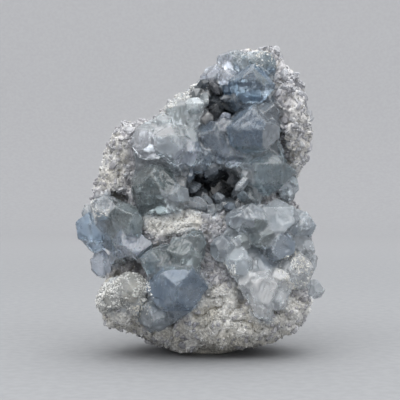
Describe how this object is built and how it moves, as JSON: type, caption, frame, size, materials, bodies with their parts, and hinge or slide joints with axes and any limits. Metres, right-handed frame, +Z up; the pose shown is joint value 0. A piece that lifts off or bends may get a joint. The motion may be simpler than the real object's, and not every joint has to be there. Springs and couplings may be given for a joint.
{
  "type": "celestite geode",
  "caption": "Broken piece of a geode, its hollow and front lined with see-through pale blue celestite crystals on pale rock.",
  "frame": {"origin": "middle of the whole piece seen from above, at the level of the flat spot it rests on", "axes": "+Z up, the hollow and the crystals face -Y, +X to the right as seen from the front"},
  "size_m": [0.0782, 0.0578, 0.0959],
  "materials": {
    "rock": "rough, granular",
    "crystal": "clear to milky pale blue"
  },
  "bodies": {
    "root": {"rock_matrix": "rock", "crystal_crust": "crystal", "left_blue_crystals": "crystal", "lower_block_crystals": "crystal", "front_right_crystals": "crystal", "left_foot_crystals": "crystal"}
  },
  "joints": []
}
